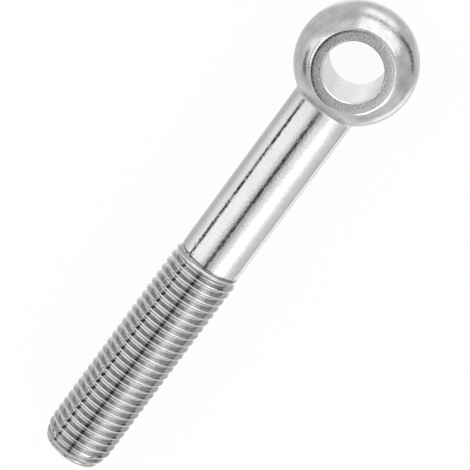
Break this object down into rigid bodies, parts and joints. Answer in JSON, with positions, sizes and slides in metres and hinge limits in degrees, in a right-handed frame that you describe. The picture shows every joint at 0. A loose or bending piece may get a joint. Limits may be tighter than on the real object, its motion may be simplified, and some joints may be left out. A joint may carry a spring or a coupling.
{
  "type": "swing eye bolt",
  "caption": "Swing eye bolt with a ball eye milled flat on both sides, a cross bore for a hinge pin, a plain round shank and a coarse right-hand thread with a rounded tip.",
  "frame": {"origin": "middle of the eye's bore, on its axis and half-way between the two milled faces", "axes": "+X along the shank from the eye to the threaded tip, +Z along the bore, the bolt lying on a milled face"},
  "size_m": [0.157, 0.034, 0.025],
  "materials": {
    "stainless_steel": "bright satin stainless steel, milled eye faces duller than the turned ball and shank"
  },
  "bodies": {
    "root": {"eye_bolt": "stainless_steel"}
  },
  "joints": []
}
